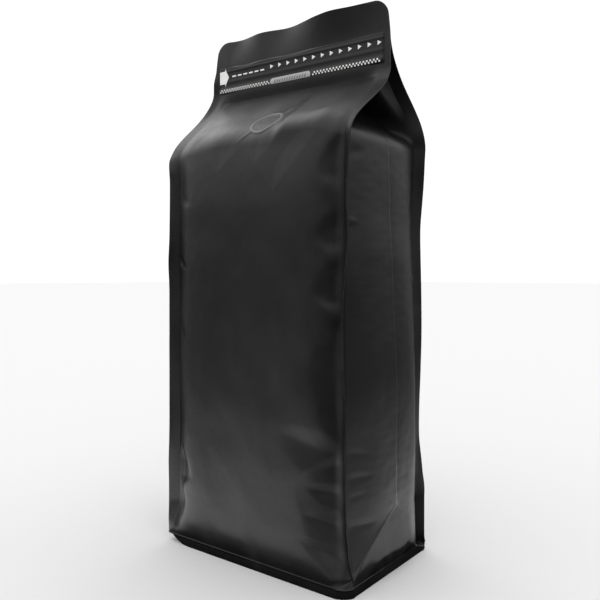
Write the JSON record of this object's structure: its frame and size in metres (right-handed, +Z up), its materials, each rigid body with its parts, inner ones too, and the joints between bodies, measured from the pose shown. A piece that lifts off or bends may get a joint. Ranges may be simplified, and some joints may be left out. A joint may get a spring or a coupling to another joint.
{
  "type": "block bottom coffee bag",
  "caption": "Filled block bottom coffee bag in matt black film, with corner fins, side gussets, a flat rimmed base, a valve ring and a zip strip across the flat header.",
  "frame": {"origin": "middle of the flat base, on the surface the bag stands on", "axes": "+Z up to the header, -Y towards the front with the zip strip and valve, +X to the right as seen from the front"},
  "size_m": [0.1448, 0.0926, 0.3236],
  "materials": {
    "film": "matt black laminate film with a soft sheen",
    "strip": "matt black ribbed film, printed with plain white shapes"
  },
  "bodies": {
    "root": {"bag_film": "film", "zip_strip": "strip"}
  },
  "joints": []
}
